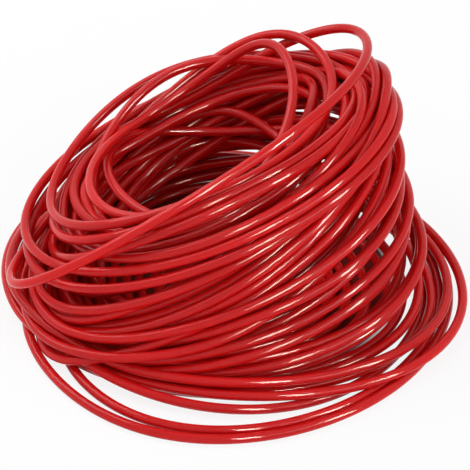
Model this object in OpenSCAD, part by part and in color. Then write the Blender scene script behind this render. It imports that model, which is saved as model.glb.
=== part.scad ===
// Loose heap of polyurethane air hose: one extruded tube with both ends cut square.
// The lowest turn lies flat on the ground, and the turns above it lean over:
// they rise to the right and are pushed towards the back.
// +Z is up, the heap rests on Z = 0, and the origin is the middle of its footprint.

/* [Tube] */
// Outside diameter of the tube
tube_od = 6; // [4:0.5:8]
// Thickness of the tube's wall
tube_wall = 1; // [0.5:0.1:1.5]

/* [Heap] */
// Radius of the lowest turn, to the middle of the tube
base_r = 132; // [118:1:158]
// Radius of the highest turn, to the middle of the tube
top_r = 104; // [90:1:118]
// How far the turns halfway up bulge out
bulge = 15; // [0:1:18]
// Height of the highest turn's middle
top_h = 110; // [95:1:132]
// Angle that the highest turn leans at
top_lean = 30; // [15:1:33]
// Direction in which the highest turn rises, turned from +X
top_rise_dir = -14; // [-40:1:20]
// How far the highest turn is pushed back
top_back = 38; // [0:1:45]
// How far the highest turn is pushed to the left
top_left = 16; // [0:1:20]
// Turns in each layer
turns_per_layer = 6; // [4:1:6]
// Layers of turns, one inside the other
layers = 4; // [2:2:4]
// Distance from one layer to the next, square to the wall of turns where it lies flattest
layer_step = 7.79; // [6.49:0.01:9.74]
// How far a turn strays from its even place
stray = 1.2; // [0:0.1:1.5]

/* [Free ends] */
// Length of each free end past the heap
end_l = 30; // [25:1:60]
// How many layer steps the inner end curls in from the last layer
curl_in = 2.5; // [1:0.1:3]

/* [Hidden] */
SIDES = 6;           // sides of the coiled tube
RINGS = 24;          // rings in each turn
START_DIR = 90;      // the tube starts and stops at the back
CLIMB = 0.5;         // turns that a climb to the next layer takes
FLAT = 0.1;          // share of the diameter that the ground flattens
HAIR = 0.001;        // small step that gives a direction
tube_r = tube_od / 2;
bore_r = tube_r - tube_wall;
turns = layers * turns_per_layer;
steps = turns * RINGS;
stub = tube_od;      // straight length before each free end

function share(x) = max(0, min(1, x));
function unit(v) = v / norm(v);

// Layer that turn t lies in: it starts one step outside layer 0, climbs in the half turn
// where the winding reverses, and curls in at the end.
function layer_at(t) =
    - share(1 - t)
    + curl_in * share((t - turns) / CLIMB + 1)
    + (layers > 1 ? climbs_at(t, 1) : 0);
function climbs_at(t, j) =
    j == layers ? 0 : share((t - j * turns_per_layer) / CLIMB + 0.5) + climbs_at(t, j + 1);

// How far up the wall turn t lies, from 0 on the ground to 1 at the highest turn.
// The first turn stays on the ground, and each layer then runs up or down at a steady rate.
function wall_at(t) =
    let (j = min(floor(t / turns_per_layer), layers - 1))
    let (done = t / turns_per_layer - j)
    j == 0 ? max(0, t - 1) / (turns_per_layer - 1) : j % 2 == 0 ? done : 1 - done;

// Height of the tube's middle where the ground carries it, round at the two ends.
lying_z = tube_r - tube_od * FLAT;
function ground_at(t) = tube_r - (tube_r - lying_z) * share(10 * t) * share(10 * (turns - t));

// The highest turn, at the angle a seen from above.
function top_turn(a) =
    let (along = top_r * cos(a - top_rise_dir))
    let (across = top_r * sin(a - top_rise_dir))
    let (flat_along = along * cos(top_lean))
    [
        flat_along * cos(top_rise_dir) - across * sin(top_rise_dir) - top_left,
        flat_along * sin(top_rise_dir) + across * cos(top_rise_dir) + top_back,
        top_h + along * sin(top_lean)
    ];

// The wall of turns, from the lowest turn at the height low to the highest turn.
function outward(a) = [cos(a), sin(a), 0];
function wall_point(a, up, low) =
    (1 - up) * [base_r * cos(a), base_r * sin(a), low]
        + up * top_turn(a)
        + bulge * sin(180 * up) * outward(a);

// Share of a step inwards that lies square to the wall, and the step where that is least.
function squareness(a, up) =
    let (along = wall_point(a + HAIR, up, lying_z) - wall_point(a - HAIR, up, lying_z))
    let (rise = wall_point(a, up + HAIR, lying_z) - wall_point(a, up - HAIR, lying_z))
    abs(unit(cross(along, rise)) * outward(a));
step_in = layer_step / min([for (a = [0 : 15 : 345]) for (up = [0 : 0.25 : 1]) squareness(a, up)]);

// The tube's middle after t turns.
function route(t) =
    let (a = START_DIR + 360 * t)
    let (up = wall_at(t))
    let (free = stray * share(6 * up))
    wall_point(a, up, ground_at(t))
        + (free * sin(133 * t) - layer_at(t) * step_in) * outward(a)
        + free * sin(211 * t) * [0, 0, 1];

start = route(0);
stop = route(turns);
start_dir = [1, 0, 0];
stop_dir = [-1, 0, 0];
middles = [
    start + stub * start_dir,
    for (n = [0 : steps]) route(n / RINGS),
    stop + stub * stop_dir
];
headings = [
    -start_dir,
    -start_dir,
    for (n = [1 : steps - 1]) unit(route(n / RINGS + HAIR) - route(n / RINGS - HAIR)),
    stop_dir,
    stop_dir
];

// One ring of the coiled tube, with two corners underneath, which stop at the ground.
function ring(middle, heading) =
    let (side = unit(cross([0, 0, 1], heading)))
    let (above = cross(heading, side))
    [
        for (k = [0 : SIDES - 1])
            let (p = middle + tube_r * (cos(360 * k / SIDES) * side + sin(360 * k / SIDES) * above))
            [p.x, p.y, max(p.z, 0)]
    ];
skin = [for (n = [0 : len(middles) - 1]) each ring(middles[n], headings[n])];

function wall_faces(n, k) =
    let (a = n * SIDES + k)
    let (b = n * SIDES + (k + 1) % SIDES)
    [[a, b, b + SIDES], [a, b + SIDES, a + SIDES]];
function cap_faces(n, turn_over) =
    [for (k = [1 : SIDES - 2])
        turn_over ? [n * SIDES, n * SIDES + k + 1, n * SIDES + k]
                  : [n * SIDES, n * SIDES + k, n * SIDES + k + 1]];
skin_faces = [
    for (n = [0 : len(middles) - 2]) for (k = [0 : SIDES - 1]) each wall_faces(n, k),
    each cap_faces(0, true),
    each cap_faces(len(middles) - 1, false)
];

// The footprint's middle, which every node is moved by.
tips = [middles[0] + end_l * start_dir, middles[len(middles) - 1] + end_l * stop_dir];
xs = [for (p = skin) p.x, for (p = tips) p.x];
ys = [for (p = skin) p.y, for (p = tips) p.y + tube_r, for (p = tips) p.y - tube_r];
centre = [(min(xs) + max(xs)) / 2, (min(ys) + max(ys)) / 2, 0];

// The least gap between two turns: from each ring's middle to the stretches of tube before
// and after the rings at the same angle in all the other turns.
function reach(p, a, b) =
    let (along = b - a)
    norm(p - a - share((p - a) * along / (along * along)) * along);
least_gap = min([
    for (n = [1 : steps + 1])
        for (m = [(n - 1) % RINGS + 1 : RINGS : steps])
            if (abs(m - n) >= RINGS) each [
                reach(middles[n], middles[m], middles[m + 1]),
                reach(middles[n], middles[m - 1], middles[m])
            ]
]) - tube_od;
echo(least_gap = least_gap);
echo(outer_tip = tips[0] - centre, inner_tip = tips[1] - centre);
echo(box = [max(xs) - min(xs), max(ys) - min(ys), max([for (p = skin) p.z])]);

module free_end(root, yaw) {
    translate(root - centre)
        rotate([0, 0, yaw])
            rotate([0, 90, 0])
                difference() {
                    cylinder(r = tube_r, h = end_l, $fn = 48);
                    translate([0, 0, -1])
                        cylinder(r = bore_r, h = end_l + 2, $fn = 48);
                }
}

// All the turns of the heap as one unbroken tube.
module hose_coil() {
    color("#c4201e")
        translate(-centre)
            polyhedron(points = skin, faces = skin_faces);
}

// The end outside the heap, which lies on the ground at the back.
module outer_end() {
    color("#c4201e")
        free_end(middles[0], 0);
}

// The end inside the heap, which lies on the ground inside the turns.
module inner_end() {
    color("#c4201e")
        free_end(middles[len(middles) - 1], 180);
}

hose_coil();
outer_end();
inner_end();
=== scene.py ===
# %% [markdown]
# # A loose heap of red air hose
# The real object is one length of extruded polyurethane tube, 6 mm outside and 4 mm inside,
# dropped in a loose heap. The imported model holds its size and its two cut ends. This script
# lays the whole hose along the same heap, turn by turn, and gives it its finish and light.

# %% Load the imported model
import math

import bmesh
import bpy
import numpy as np
from mathutils import Matrix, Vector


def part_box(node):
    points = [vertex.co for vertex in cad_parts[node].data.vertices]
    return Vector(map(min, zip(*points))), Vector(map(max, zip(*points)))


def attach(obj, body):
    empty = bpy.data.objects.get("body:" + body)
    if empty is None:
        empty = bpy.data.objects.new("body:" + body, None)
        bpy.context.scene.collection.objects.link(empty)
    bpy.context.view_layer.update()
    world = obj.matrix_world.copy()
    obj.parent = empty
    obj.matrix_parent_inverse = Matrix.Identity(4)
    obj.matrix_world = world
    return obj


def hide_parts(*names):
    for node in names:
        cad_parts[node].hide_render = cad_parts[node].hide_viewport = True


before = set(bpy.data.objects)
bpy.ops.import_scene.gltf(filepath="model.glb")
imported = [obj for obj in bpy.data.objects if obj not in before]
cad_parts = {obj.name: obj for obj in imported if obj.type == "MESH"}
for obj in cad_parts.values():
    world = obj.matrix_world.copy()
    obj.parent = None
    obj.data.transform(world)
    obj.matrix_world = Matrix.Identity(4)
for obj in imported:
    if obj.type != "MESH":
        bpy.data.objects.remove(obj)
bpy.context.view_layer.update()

# %% [markdown]
# ## The camera
# A product picture is taken from far away with a long lens, so that near and far turns look
# equally thick. The camera looks down at the heap, along +Y.

# %% Camera
ELEVATION = math.radians(38)
DISTANCE = 1.6
AIM = (0.002, 0.0, 0.049)
LENS_MM = 200
SENSOR_MM = 36

camera_data = bpy.data.cameras.new("camera")
camera_data.lens = LENS_MM
camera_data.sensor_width = SENSOR_MM
camera = bpy.data.objects.new("camera", camera_data)
camera.location = (
    AIM[0],
    AIM[1] - DISTANCE * math.cos(ELEVATION),
    AIM[2] + DISTANCE * math.sin(ELEVATION),
)
camera.rotation_euler = (math.pi / 2 - ELEVATION, 0, 0)
bpy.context.scene.collection.objects.link(camera)
bpy.context.scene.camera = camera
print("camera at", [round(c, 3) for c in camera.location])

# %% [markdown]
# ## The turns of the heap
# A hose that comes off a roll keeps its curl, so it falls in turns. Every turn is drawn as a
# smooth ring through four places, in millimetres: on the right, at the back, on the left and
# at the front. The turns that stand out are chosen one by one. The first lie on the ground, and
# most of the rest lean: they lie low on the left and ride high on the right. The last ones curl
# up small on the ground inside.

# %% Turns that stand out
MM = 0.001
TUBE = 6.0
TUBE_R = TUBE / 2

TURNS = {
    "floor_outer": ((134, 4, 3), (6, 137, 3), (-112, -10, 3), (0, -134, 3)),
    "floor_middle": ((130, 0, 3), (3, 130, 3), (-105, -6, 3), (-2, -127, 3)),
    "floor_front": ((119, 6, 3), (5, 124, 3), (-121, 12, 9), (2, -109, 3)),
    "fill_low": ((114, 12, 31), (-4, 119, 14), (-112, 0, 3), (6, -84, 7)),
    "wide": ((143, -4, 8), (2, 131, 8), (-139, 24, 9), (6, -101, 8)),
    "wide_low": ((134, 4, 9), (0, 126, 10), (-133, 18, 12), (2, -94, 12)),
    "belly": ((115, 20, 43), (-22, 118, 28), (-121, -5, 6), (18, -85, 19)),
    "waist": ((106, 20, 58), (-22, 118, 37), (-118, -10, 6), (6, -84, 24)),
    "fill": ((102, 22, 78), (-8, 122, 50), (-118, -8, 10), (2, -79, 40)),
    "steep_low": ((91, 28, 107), (-2, 117, 64), (-117, -14, 8), (-20, -77, 39)),
    "steep": ((87, 35, 120), (8, 118, 76), (-117, -8, 14), (-32, -66, 60)),
    "fill_high": ((94, 30, 117), (-6, 124, 75), (-120, 2, 28), (-26, -71, 66)),
    "collar_low": ((98, 28, 117), (-7, 124, 79), (-125, 20, 38), (-30, -69, 73)),
    "collar": ((96, 30, 122), (-5, 125, 82), (-127, 30, 44), (-28, -65, 81)),
    "collar_in": ((88, 36, 118), (-4, 119, 80), (-103, 34, 50), (-28, -62, 87)),
    "rim_under": ((82, 43, 117), (-6, 120, 82), (-110, 18, 40), (-32, -55, 99)),
    "rim_low": ((76, 47, 115), (-4, 118, 84), (-106, 28, 48), (-34, -52, 101)),
    "rim": ((60, 48, 115), (-8, 124, 109), (-110, 42, 59), (-42, -47, 101)),
    "arch": ((83, 63, 140), (-4, 115, 90), (-134, -12, 34), (-30, -50, 108)),
    "throat_back": ((57, 50, 112), (6, 110, 86), (-94, 45, 58), (-22, -40, 84)),
    "hoop": ((37, 38, 123), (-12, 113, 116), (-85, 38, 62), (-27, -30, 77)),
    "swoop": ((52, 44, 108), (-12, 106, 80), (-86, 30, 78), (-32, -38, 95)),
    "throat_right": ((53, 50, 112), (0, 104, 80), (-92, 38, 60), (-18, -40, 82)),
    "stray": ((42, 42, 70), (-18, 94, 63), (-80, 56, 68), (-24, -22, 74)),
    "sunk_high": ((66, 34, 84), (-8, 96, 54), (-86, 36, 50), (-18, -40, 58)),
    "sunk": ((72, 24, 50), (-10, 90, 34), (-88, 24, 20), (-20, -50, 30)),
    "nest": ((106, 4, 7), (-8, 115, 6), (-103, 4, 6), (2, -84, 6)),
    "floor_in": ((97, 4, 3), (-6, 107, 3), (-86, 10, 3), (-4, -76, 3)),
    "curl": ((84, 4, 3), (-2, 95, 3), (-75, 9, 3), (4, -64, 3)),
    "curl_1": ((72, 4, 3), (0, 83, 3), (-66, 9, 3), (6, -54, 3)),
    "curl_2": ((60, 8, 3), (3, 71, 3), (-57, 10, 3), (8, -44, 3)),
    "curl_3": ((51, 12, 3), (4, 50, 6), (-46, 11, 3), (8, -32, 3)),
    "curl_4": ((40, 14, 4), (2, 46, 6), (-36, 12, 3), (6, -22, 3)),
    "last": ((57, 8, 3), (0, 59, 3), (-46, 6, 8), (4, -38, 8)),
}
print(len(TURNS), "turns that stand out")

# %% [markdown]
# Between them the turns fill a wall. Six rings are its pattern, from the ground to the rim, and
# a share from 0 to 1 picks a place between them. A second number brings the turn in towards the
# middle, most of all on the left, where the wall is low and thick. A seeded draw then moves it a
# little, as no two turns of a real heap lie alike.

# %% The wall of turns
SHARES = (0, 0.1, 0.25, 0.45, 0.7, 1)
WALL = np.array(
    [
        [(118, 5, 3), (3, 122, 3), (-117, 4, 3), (0, -93, 3)],
        [(116, 18, 33), (-13, 120, 24), (-121, -3, 5), (12, -87, 15)],
        [(104, 20, 80), (-8, 124, 45), (-119, -6, 9), (0, -82, 31)],
        [(90, 30, 110), (0, 121, 66), (-118, -7, 16), (-19, -75, 50)],
        [(90, 32, 118), (-4, 123, 78), (-124, 16, 35), (-28, -66, 76)],
        [(76, 46, 120), (-6, 117, 84), (-108, 30, 52), (-30, -52, 102)],
    ],
    float,
)
INWARDS = np.array([1.0, 1.2, 2.0, 1.0])  # share of a step in: right, back, left and front
LOOSE = np.array([3.0, 3.0, 5.0])  # spread of the draw along X, Y and Z, in millimetres
SEED = 3
draw = np.random.default_rng(SEED)


def wall_turn(share, inwards=0.0):
    """Four places of a turn at that share of the wall, brought in by some millimetres."""
    above = int(np.clip(np.searchsorted(SHARES, share, side="right"), 1, len(WALL) - 1))
    part = (share - SHARES[above - 1]) / (SHARES[above] - SHARES[above - 1])
    places = (1 - part) * WALL[above - 1] + part * WALL[above]
    away = places[:, :2] - places[:, :2].mean(0)
    away /= np.linalg.norm(away, axis=1)[:, None]
    places[:, :2] -= inwards * INWARDS[:, None] * away
    places += draw.normal(size=places.shape) * LOOSE
    places[:, 2] = np.maximum(places[:, 2], TUBE_R)
    return places


print(len(WALL), "rings are the wall's pattern")

# %% The turns in the order that the hose runs through them
ORDER = [
    "floor_outer", "floor_middle", "floor_front", "wide", "wide_low", 0.0, "fill_low", 0.05,
    "belly", 0.1, 0.15, "waist", 0.2, 0.25, "fill", 0.34, 0.39, "steep_low", 0.44, "steep",
    0.53, "fill_high", "collar_low", "collar", "collar_in", "rim_under", "rim_low", "rim",
    "arch", "throat_back", "hoop", "swoop", "throat_right", (0.85, 9), "sunk_high", "stray",
    (0.62, 9), (0.5, 9), "sunk", (0.42, 9), (0.36, 9), (0.3, 9), (0.3, 18), (0.22, 9),
    (0.14, 9), (0.1, 9), "nest", "floor_in", "curl", "curl_1", "curl_2", "curl_3", "curl_4",
    "last",
]  # fmt: skip


def places_of(entry):
    """The four places of an entry of ORDER: a name, a share, or a share and a step inwards."""
    if isinstance(entry, str):
        return np.array(TURNS[entry], float)
    return wall_turn(*entry) if isinstance(entry, tuple) else wall_turn(entry)


turns = [places_of(entry) for entry in ORDER]
print(len(turns), "turns from the outer end to the inner end")

# %% [markdown]
# ## One tube through all the turns
# The hose is one line. At the back, each turn eases into the next one over some 140 degrees,
# so that no turn has to jump. Both its ends run straight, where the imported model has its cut
# ends.

# %% The route of the hose
POINTS_A_TURN = 60
START_TURN = math.pi / 2
EASE = 0.2
END_POINTS = 4
outer_low, outer_high = (np.array(c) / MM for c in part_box("outer_end"))
inner_low, inner_high = (np.array(c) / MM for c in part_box("inner_end"))


def ring(places, angle):
    """The smooth ring through four places: right, back, left and front."""
    right, back, left, front = places
    middle = (right + back + left + front) / 4
    square = (right + left - back - front) / 4
    cosine, sine, double = (f[:, None] for f in (np.cos(angle), np.sin(angle), np.cos(2 * angle)))
    return middle + (right - left) / 2 * cosine + (back - front) / 2 * sine + square * double


def eased(x):
    """From 0 to 1 without a kink."""
    x = np.clip(x, 0, 1)
    return x**3 * (x * (6 * x - 15) + 10)


def line_through(turns):
    """The middle of the tube, as points in millimetres."""
    count = len(turns)
    wound = np.arange(count * POINTS_A_TURN + 1) / POINTS_A_TURN
    angle = START_TURN + 2 * math.pi * wound
    here = np.minimum(wound.astype(int), count - 1)
    done = wound - here
    rings = np.stack([ring(places, angle) for places in turns])
    point = np.arange(len(wound))
    from_last = 1 - eased((done + EASE) / (2 * EASE))
    to_next = eased((done - 1 + EASE) / (2 * EASE))
    before, after = np.maximum(here - 1, 0), np.minimum(here + 1, count - 1)
    return (
        (1 - from_last - to_next)[:, None] * rings[here, point]
        + from_last[:, None] * rings[before, point]
        + to_next[:, None] * rings[after, point]
    )


def straight(start, stop):
    """END_POINTS points of a straight stretch, its last point left out."""
    return np.linspace(start, stop, END_POINTS + 1)[:END_POINTS]


heap_line = line_through(turns)
outer_tip = np.array((outer_high[0], (outer_low[1] + outer_high[1]) / 2, TUBE_R))
inner_tip = np.array((inner_low[0], (inner_low[1] + inner_high[1]) / 2, TUBE_R))
drawn = np.concatenate(
    [straight(outer_tip, heap_line[0]), heap_line, straight(inner_tip, heap_line[-1])[::-1]]
)
steps = np.linalg.norm(np.diff(drawn, axis=0), axis=1)
print(len(drawn), "points,", round(steps.sum() / 1000, 2), "m of hose")

# %% [markdown]
# ## Pushing the turns apart
# Drawn rings pass through each other where they cross. Real tube can't, so the turns are now
# pushed apart, a little at a time, wherever two stretches come nearer than one diameter. The push
# is shared along the tube, which bends only gently, and every point is drawn back a little
# towards its place. Where two stretches lie right inside each other, the one laid first goes
# outside and the later one inside. Nothing sinks below the ground. Weight plays no part in it, and
# some stretches stay pressed into each other, whose share is printed at the end.

# %% Helpers that find and measure stretches near each other
APART = TUBE + 0.1  # a hair more than touching
NEAR = 3.0  # pairs are looked for this much further out than they touch
NOT_NEIGHBOURS = POINTS_A_TURN // 3
BLOCK = 500  # stretches compared with all others at a time
PARALLEL = 1e-6
FAR = 1e9  # starts s at 0 on stretches side by side, which have no one nearest spot


def near_pairs(line, reach):
    """Pairs of stretches whose middles are nearer than reach, but no neighbours on the hose."""
    middle = (line[1:] + line[:-1]) / 2
    square = (middle**2).sum(1)
    first, second = [], []
    for start in range(0, len(middle), BLOCK):
        block = middle[start : start + BLOCK]
        apart = square[start : start + BLOCK, None] + square[None] - 2 * block @ middle.T
        i, j = np.nonzero(apart < reach**2)
        keep = j - (i + start) > NOT_NEIGHBOURS
        first.append(i[keep] + start)
        second.append(j[keep])
    return np.concatenate(first), np.concatenate(second)


def closest(line, i, j):
    """Where along each of two stretches they are nearest, and the vector between those spots."""
    a, b = line[i + 1] - line[i], line[j + 1] - line[j]
    between = line[i] - line[j]
    aa, bb, ab = (a * a).sum(1), (b * b).sum(1), (a * b).sum(1)
    af, bf = (a * between).sum(1), (b * between).sum(1)
    square = aa * bb - ab * ab
    square = np.where(square < PARALLEL * aa * bb, FAR, square)
    s = np.clip((ab * bf - af * bb) / square, 0, 1)
    t = np.clip((ab * s + bf) / bb, 0, 1)
    s = np.clip((ab * t - af) / aa, 0, 1)
    return s, t, between + s[:, None] * a - t[:, None] * b


# %% Push the turns apart
ROUNDS = 260
FIND_PAIRS_EVERY = 6
SMOOTHINGS = 2
PULL_BACK = 0.005
SHARING = 0.3
OVERSHOOT = 1.2
SAME_SPOT = 2.0
HEAP_MIDDLE = (-8, 20)
OUTWARD_RISE = 0.5


def outward(points):
    """The direction out of the heap at each point: away from its middle, and up."""
    away = points - (*HEAP_MIDDLE, 0)
    away[:, 2] = OUTWARD_RISE * np.linalg.norm(away[:, :2], axis=1)
    return away / np.linalg.norm(away, axis=1)[:, None]


def pushed(line, i, j, s, t, between):
    """How far each point moves when every stretch that is too near another is pushed off it."""
    gap = np.linalg.norm(between, axis=1)
    close = gap < APART
    i, j, s, t, between, gap = (v[close] for v in (i, j, s, t, between, gap))
    inside = gap < SAME_SPOT
    between[inside] = SAME_SPOT * outward(line[i[inside]])
    gap = np.maximum(gap, SAME_SPOT)
    push = between * (0.5 * (APART - gap) / gap)[:, None]
    move, weight = np.zeros_like(line), np.zeros(len(line))
    for point, share, sign in ((i, 1 - s, 1), (i + 1, s, 1), (j, 1 - t, -1), (j + 1, t, -1)):
        np.add.at(move, point, sign * push * share[:, None])
        np.add.at(weight, point, share)
    return move / np.maximum(weight, 1)[:, None]


def settled(drawn):
    """The line after its turns have pushed each other apart."""
    line = drawn.copy()
    reach = np.linalg.norm(np.diff(drawn, axis=0), axis=1).mean() + APART + NEAR
    for count in range(ROUNDS):
        if count % FIND_PAIRS_EVERY == 0:
            i, j = near_pairs(line, reach)
        line += OVERSHOOT * pushed(line, i, j, *closest(line, i, j))
        line[:, 2] = np.maximum(line[:, 2], TUBE_R)
        moved = line - drawn
        for _ in range(SMOOTHINGS):
            moved[1:-1] += SHARING * ((moved[2:] + moved[:-2]) / 2 - moved[1:-1])
        moved *= 1 - PULL_BACK
        moved[: END_POINTS + 1] = 0
        moved[-END_POINTS - 1 :] = 0
        line = drawn + moved
        line[:, 2] = np.maximum(line[:, 2], TUBE_R)
    return line


line = settled(drawn)
print("furthest push", round(np.linalg.norm(line - drawn, axis=1).max(), 1), "mm")

# %% How much of the tube stays pressed into another turn
PRESSED_UNDER = 0.9 * TUBE
i, j = near_pairs(line, 2 * APART + NEAR)
gap = np.linalg.norm(closest(line, i, j)[2], axis=1)
close = gap < PRESSED_UNDER
pressed = len(np.union1d(i[close], j[close])) / len(line)
print("share of the tube pressed into another turn: %.3f" % pressed)

# %% [markdown]
# ## The tube's skin
# The line becomes a tube: a curve with a round bevel, made into a mesh. Its coordinates run
# along the tube and around it, so that the fine lines left by the extruder's die can follow it.

# %% Even steps along the line
RINGS = 6600
CUTS = 4  # smooth points made for each point of the line


def evenly(line, count):
    """The line as a smooth curve through its points, cut into evenly spaced ones."""
    before = np.concatenate([2 * line[:1] - line[1:2], line[:-2]])
    first, second = line[:-1], line[1:]
    after = np.concatenate([line[2:], 2 * line[-1:] - line[-2:-1]])
    pieces = []
    for x in np.arange(CUTS) / CUTS:
        pieces.append(
            0.5
            * (
                2 * first
                + (second - before) * x
                + (2 * before - 5 * first + 4 * second - after) * x**2
                + (3 * first - before - 3 * second + after) * x**3
            )
        )
    fine = np.concatenate([np.stack(pieces, 1).reshape(-1, 3), line[-1:]])
    travelled = np.concatenate([[0], np.cumsum(np.linalg.norm(np.diff(fine, axis=0), axis=1))])
    wanted = np.linspace(0, travelled[-1], count)
    return np.stack([np.interp(wanted, travelled, fine[:, k]) for k in range(3)], 1), travelled[-1]


middles, hose_mm = evenly(line, RINGS)
print("hose is", round(hose_mm / 1000, 2), "m long, a ring every", round(hose_mm / RINGS, 1), "mm")

# %% A bevelled curve, made into a mesh
ROUNDNESS = 5  # Blender makes four sides, and two more for each of these: 14
curve = bpy.data.curves.new("hose_line", "CURVE")
curve.dimensions = "3D"
curve.twist_mode = "MINIMUM"
curve.bevel_depth = TUBE_R * MM
curve.bevel_resolution = ROUNDNESS
spline = curve.splines.new("POLY")
spline.points.add(RINGS - 1)
spline.points.foreach_set("co", np.c_[middles * MM, np.ones(RINGS)].ravel())
spline.use_smooth = True
line_object = bpy.data.objects.new("hose_line", curve)
bpy.context.scene.collection.objects.link(line_object)
bpy.context.view_layer.update()
hose_mesh = bpy.data.meshes.new_from_object(line_object)
hose_mesh.name = "air_hose"
bpy.data.objects.remove(line_object)
bpy.data.curves.remove(curve)
print(len(hose_mesh.polygons), "faces")

# %% [markdown]
# ## The cut ends
# Both ends are cut square and stand open. The rim of each is drawn in from the outside to the
# bore, and the bore goes in until the light is lost.

# %% Cut ends
BORE_R = 2.0
BORE_DEPTH = 25.0


def cut_end(shape, tip, inwards):
    """Makes the wall and the bore at an open end, whose tube runs along X."""
    tip = np.array(tip) * MM
    edges = [
        edge
        for edge in shape.edges
        if edge.is_boundary and np.linalg.norm(np.array(edge.verts[0].co) - tip) < TUBE * MM
    ]
    to_bore = BORE_R / TUBE_R
    for scale, shift in ((to_bore, 0), (1, inwards * BORE_DEPTH * MM)):
        for edge in edges:
            edge.smooth = False
        made = bmesh.ops.extrude_edge_only(shape, edges=edges)["geom"]
        verts = [part for part in made if isinstance(part, bmesh.types.BMVert)]
        edges = [part for part in made if isinstance(part, bmesh.types.BMEdge)]
        edges = [edge for edge in edges if edge.is_boundary]
        around = Matrix.Translation([-c for c in tip])
        bmesh.ops.scale(shape, vec=(1, scale, scale), space=around, verts=verts)
        bmesh.ops.translate(shape, vec=(shift, 0, 0), verts=verts)
    bmesh.ops.edgeloop_fill(shape, edges=edges)
    print("cut end at", [round(c, 4) for c in tip], "with", len(edges), "sides")


skin = bmesh.new()
skin.from_mesh(hose_mesh)
cut_end(skin, outer_tip, -1)
cut_end(skin, inner_tip, 1)
bmesh.ops.recalc_face_normals(skin, faces=skin.faces)
skin.to_mesh(hose_mesh)
skin.free()

# %% The hose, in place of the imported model's plain tube
hose = bpy.data.objects.new("air_hose", hose_mesh)
bpy.context.scene.collection.objects.link(hose)
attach(hose, "root")
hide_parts("hose_coil", "outer_end", "inner_end")
print(hose.name, "has", len(hose_mesh.vertices), "vertices")

# %% [markdown]
# ## The finish
# The tube is clear polyurethane with red pigment, drawn through a polished die. It is glossy and
# lets some light in, which spreads and comes out again nearby, so it glows where light falls on
# it and goes deep red in the shade.

# %% Colour and node helpers


def linear(hex_colour):
    """An sRGB colour as Blender's linear one."""
    parts = [int(hex_colour[n : n + 2], 16) / 255 for n in (1, 3, 5)]
    return (*(c / 12.92 if c <= 0.04045 else ((c + 0.055) / 1.055) ** 2.4 for c in parts), 1)


def node(tree, kind, links=(), **settings):
    """Adds a node, sets its inputs by name or its own settings, and links others into it."""
    added = tree.nodes.new(kind)
    for name, value in settings.items():
        if name in added.inputs:
            added.inputs[name].default_value = value
        else:
            setattr(added, name, value)
    for name, source in dict(links).items():
        tree.links.new(source, added.inputs[name])
    return added


# %% Extruded polyurethane
HOSE_RED = "#C81618"
AROUND_MM = math.pi * TUBE
TONE_MM = 160.0
TONES = {"From Min": 0.3, "From Max": 0.7, "To Min": 0.86, "To Max": 1.1}
LINE_LONG_MM = 400.0
LINE_WIDE_MM = 0.5  # coarser than a polished die's own lines, which are too fine to show
LINE_DEPTH_MM = 0.02
HANDLED_MM = 14.0
ROUGHNESSES = {"From Min": 0.35, "From Max": 0.7, "To Min": 0.06, "To Max": 0.1}
GLOW_MM = 4  # how far light spreads inside the tube
GLOW_SHARES = (1.0, 0.12, 0.08)  # red light spreads furthest


def extruded_polyurethane():
    """Glossy, slightly translucent red: polyurethane's IOR is 1.5, and the die leaves it smooth.

    The pigment's tone drifts along the tube, the die draws fine lines along it, and handling
    leaves some patches a little less glossy. The specular level is under the usual 0.5, because
    two strong lights draw the highlights.
    """
    material = bpy.data.materials.new("extruded_polyurethane_red")
    material.use_nodes = True
    tree = material.node_tree
    shader = tree.nodes["Principled BSDF"]
    shader.inputs["IOR"].default_value = 1.5
    shader.inputs["Specular IOR Level"].default_value = 0.2
    shader.inputs["Subsurface Weight"].default_value = 1.0
    shader.inputs["Subsurface Radius"].default_value = GLOW_SHARES
    shader.inputs["Subsurface Scale"].default_value = GLOW_MM * MM
    along = node(tree, "ShaderNodeUVMap", uv_map="UVMap")

    tone_size = (hose_mm / TONE_MM, 1, 1)
    tone_place = node(tree, "ShaderNodeMapping", {"Vector": along.outputs[0]}, Scale=tone_size)
    tone = node(tree, "ShaderNodeTexNoise", {"Vector": tone_place.outputs[0]}, Scale=1, Detail=2)
    value = node(tree, "ShaderNodeMapRange", {"Value": tone.outputs[0]}, **TONES)
    links = {"Value": value.outputs[0]}
    red = node(tree, "ShaderNodeHueSaturation", links, Color=linear(HOSE_RED))
    tree.links.new(red.outputs[0], shader.inputs["Base Color"])

    place = node(tree, "ShaderNodeTexCoord")
    links = {"Vector": place.outputs["Object"]}
    patches = node(tree, "ShaderNodeTexNoise", links, Scale=1 / (HANDLED_MM * MM))
    gloss = node(tree, "ShaderNodeMapRange", {"Value": patches.outputs[0]}, **ROUGHNESSES)
    tree.links.new(gloss.outputs[0], shader.inputs["Roughness"])

    line_size = (hose_mm / LINE_LONG_MM, AROUND_MM / LINE_WIDE_MM, 1)
    line_place = node(tree, "ShaderNodeMapping", {"Vector": along.outputs[0]}, Scale=line_size)
    lines = node(tree, "ShaderNodeTexNoise", {"Vector": line_place.outputs[0]}, Scale=1, Detail=1)
    bump = node(tree, "ShaderNodeBump", {"Height": lines.outputs[0]}, Strength=0.5)
    bump.inputs["Distance"].default_value = LINE_DEPTH_MM * MM
    tree.links.new(bump.outputs[0], shader.inputs["Normal"])
    return material


hose_mesh.materials.append(extruded_polyurethane())
print("the hose is", hose_mesh.materials[0].name)

# %% [markdown]
# ## Floor, backdrop and light
# A product picture has a white ground and white air. The floor is pale and catches the heap's
# shadow, and inside the heap it is painted a dark red shade. Two large soft lights stand above, on
# the left and on the right. Two tall, narrow and warm ones draw the bright highlights along the
# tube, and light nothing else.

# %% What sees the white ground and air


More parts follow.
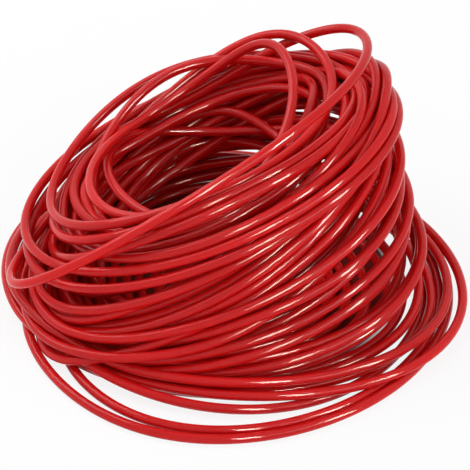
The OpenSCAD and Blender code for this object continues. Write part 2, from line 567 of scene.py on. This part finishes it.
def seen_as_white(tree):
    """1 for the camera and for what is mirrored or seen through the object, or else 0."""
    path = node(tree, "ShaderNodeLightPath")
    seen = path.outputs["Is Camera Ray"]
    for kind in ("Is Glossy Ray", "Is Transmission Ray"):
        either = node(tree, "ShaderNodeMath", {0: seen, 1: path.outputs[kind]}, operation="MAXIMUM")
        seen = either.outputs[0]
    return seen


# %% Floor
FLOOR_SIZE = 6.0
WHITE_PAINT = "#F4F4F4"
# Painted shade: the board is coloured this dark red inside the heap, in place of the shade and red
# light that fall there
PAINTED_RED_SHADE = "#7C2A26"
OWN_WHITE = 0.85
HOLLOW_MIDDLE = (0, 0.015, 0)
# Distances in metres from the hollow's middle: within the first the board shows the painted dark
# red shade, from the second on its white paint
PAINTED_SHADE_TO, WHITE_FROM = 0.098, 0.108


def white_floor():
    """Painted board: mostly its own white to the camera, and a little of its shadow.

    Inside the heap it keeps all of its real shade, and its colour there is a painted shade:
    a dark red in place of the light that the tube lets by.
    """
    material = bpy.data.materials.new("painted_board_white")
    material.use_nodes = True
    tree = material.node_tree
    tree.nodes.remove(tree.nodes["Principled BSDF"])
    output = tree.nodes["Material Output"]
    glow = node(tree, "ShaderNodeEmission", Color=(1, 1, 1, 1), Strength=1.0)
    place = node(tree, "ShaderNodeTexCoord")
    away = node(tree, "ShaderNodeVectorMath", {0: place.outputs["Object"]}, operation="DISTANCE")
    away.inputs[1].default_value = HOLLOW_MIDDLE
    spread = {"From Min": PAINTED_SHADE_TO, "From Max": WHITE_FROM, "To Max": OWN_WHITE}
    outside = node(tree, "ShaderNodeMapRange", {"Value": away.outputs["Value"]}, **spread)
    # The board's colour: painted dark red shade inside the heap, white paint outside
    board_and_painted_shade = node(tree, "ShaderNodeValToRGB", {"Fac": outside.outputs[0]})
    painted_shade_colour, outside_colour = board_and_painted_shade.color_ramp.elements
    painted_shade_colour.color = linear(PAINTED_RED_SHADE)
    outside_colour.color = linear(WHITE_PAINT)
    outside_colour.position = OWN_WHITE
    board = node(tree, "ShaderNodeBsdfDiffuse", {"Color": board_and_painted_shade.outputs[0]})
    factors = {0: seen_as_white(tree), 1: outside.outputs[0]}
    share = node(tree, "ShaderNodeMath", factors, operation="MULTIPLY")
    links = {0: share.outputs[0], 1: board.outputs[0], 2: glow.outputs[0]}
    mixed = node(tree, "ShaderNodeMixShader", links)
    tree.links.new(mixed.outputs[0], output.inputs["Surface"])
    return material


floor_shape = bmesh.new()
bmesh.ops.create_grid(floor_shape, x_segments=1, y_segments=1, size=FLOOR_SIZE / 2)
floor_mesh = bpy.data.meshes.new("floor")
floor_shape.to_mesh(floor_mesh)
floor_shape.free()
floor = bpy.data.objects.new("floor", floor_mesh)
floor_mesh.materials.append(white_floor())
bpy.context.scene.collection.objects.link(floor)
print("floor", FLOOR_SIZE, "m wide, shaded within", PAINTED_SHADE_TO, "m of the hollow's middle")

# %% World
PLAIN_LIGHT = 0.62
world = bpy.data.worlds.new("studio")
world.use_nodes = True
bpy.context.scene.world = world
tree = world.node_tree
plain = tree.nodes["Background"]
plain.inputs["Color"].default_value = (1, 1, 1, 1)
plain.inputs["Strength"].default_value = PLAIN_LIGHT
white = node(tree, "ShaderNodeBackground", Color=(1, 1, 1, 1), Strength=1.0)
links = {0: seen_as_white(tree), 1: plain.outputs[0], 2: white.outputs[0]}
both = node(tree, "ShaderNodeMixShader", links)
tree.links.new(both.outputs[0], tree.nodes["World Output"].inputs["Surface"])
bpy.context.scene.view_settings.view_transform = "Standard"
print("plain light all round at", PLAIN_LIGHT)


# %% Lights
def area_light(name, place, target, size, watts):
    """A rectangular light at a place, facing a target, in metres and watts."""
    data = bpy.data.lights.new(name, "AREA")
    data.shape = "RECTANGLE"
    data.size, data.size_y = size
    data.energy = watts
    light = bpy.data.objects.new(name, data)
    light.location = place
    towards = np.array(target) - np.array(place)
    flat = math.hypot(towards[0], towards[1])
    light.rotation_euler = (
        math.atan2(flat, -towards[2]),
        0,
        math.atan2(-towards[0], towards[1]),
    )
    bpy.context.scene.collection.objects.link(light)
    return light


HEAP = (0, 0, 0.06)
WARM_WHITE = "#FFE8D6"
STRIP_SIZE, STRIP_WATTS = (0.32, 1.1), 58
STRIPS = {"strip_right": (1.28, -0.88, 0.92), "strip_front": (0.35, -1.38, 1.04)}
area_light("softbox_left", (-1.0, 0.5, 1.3), HEAP, (1.2, 1.2), 14)
area_light("softbox_right", (1.1, -1.1, 1.0), HEAP, (1.0, 1.0), 10)
for name, place in STRIPS.items():
    strip = area_light(name, place, HEAP, STRIP_SIZE, STRIP_WATTS)
    strip.data.color = linear(WARM_WHITE)[:3]
    strip.visible_diffuse = False
print(len(bpy.data.lights), "lights")
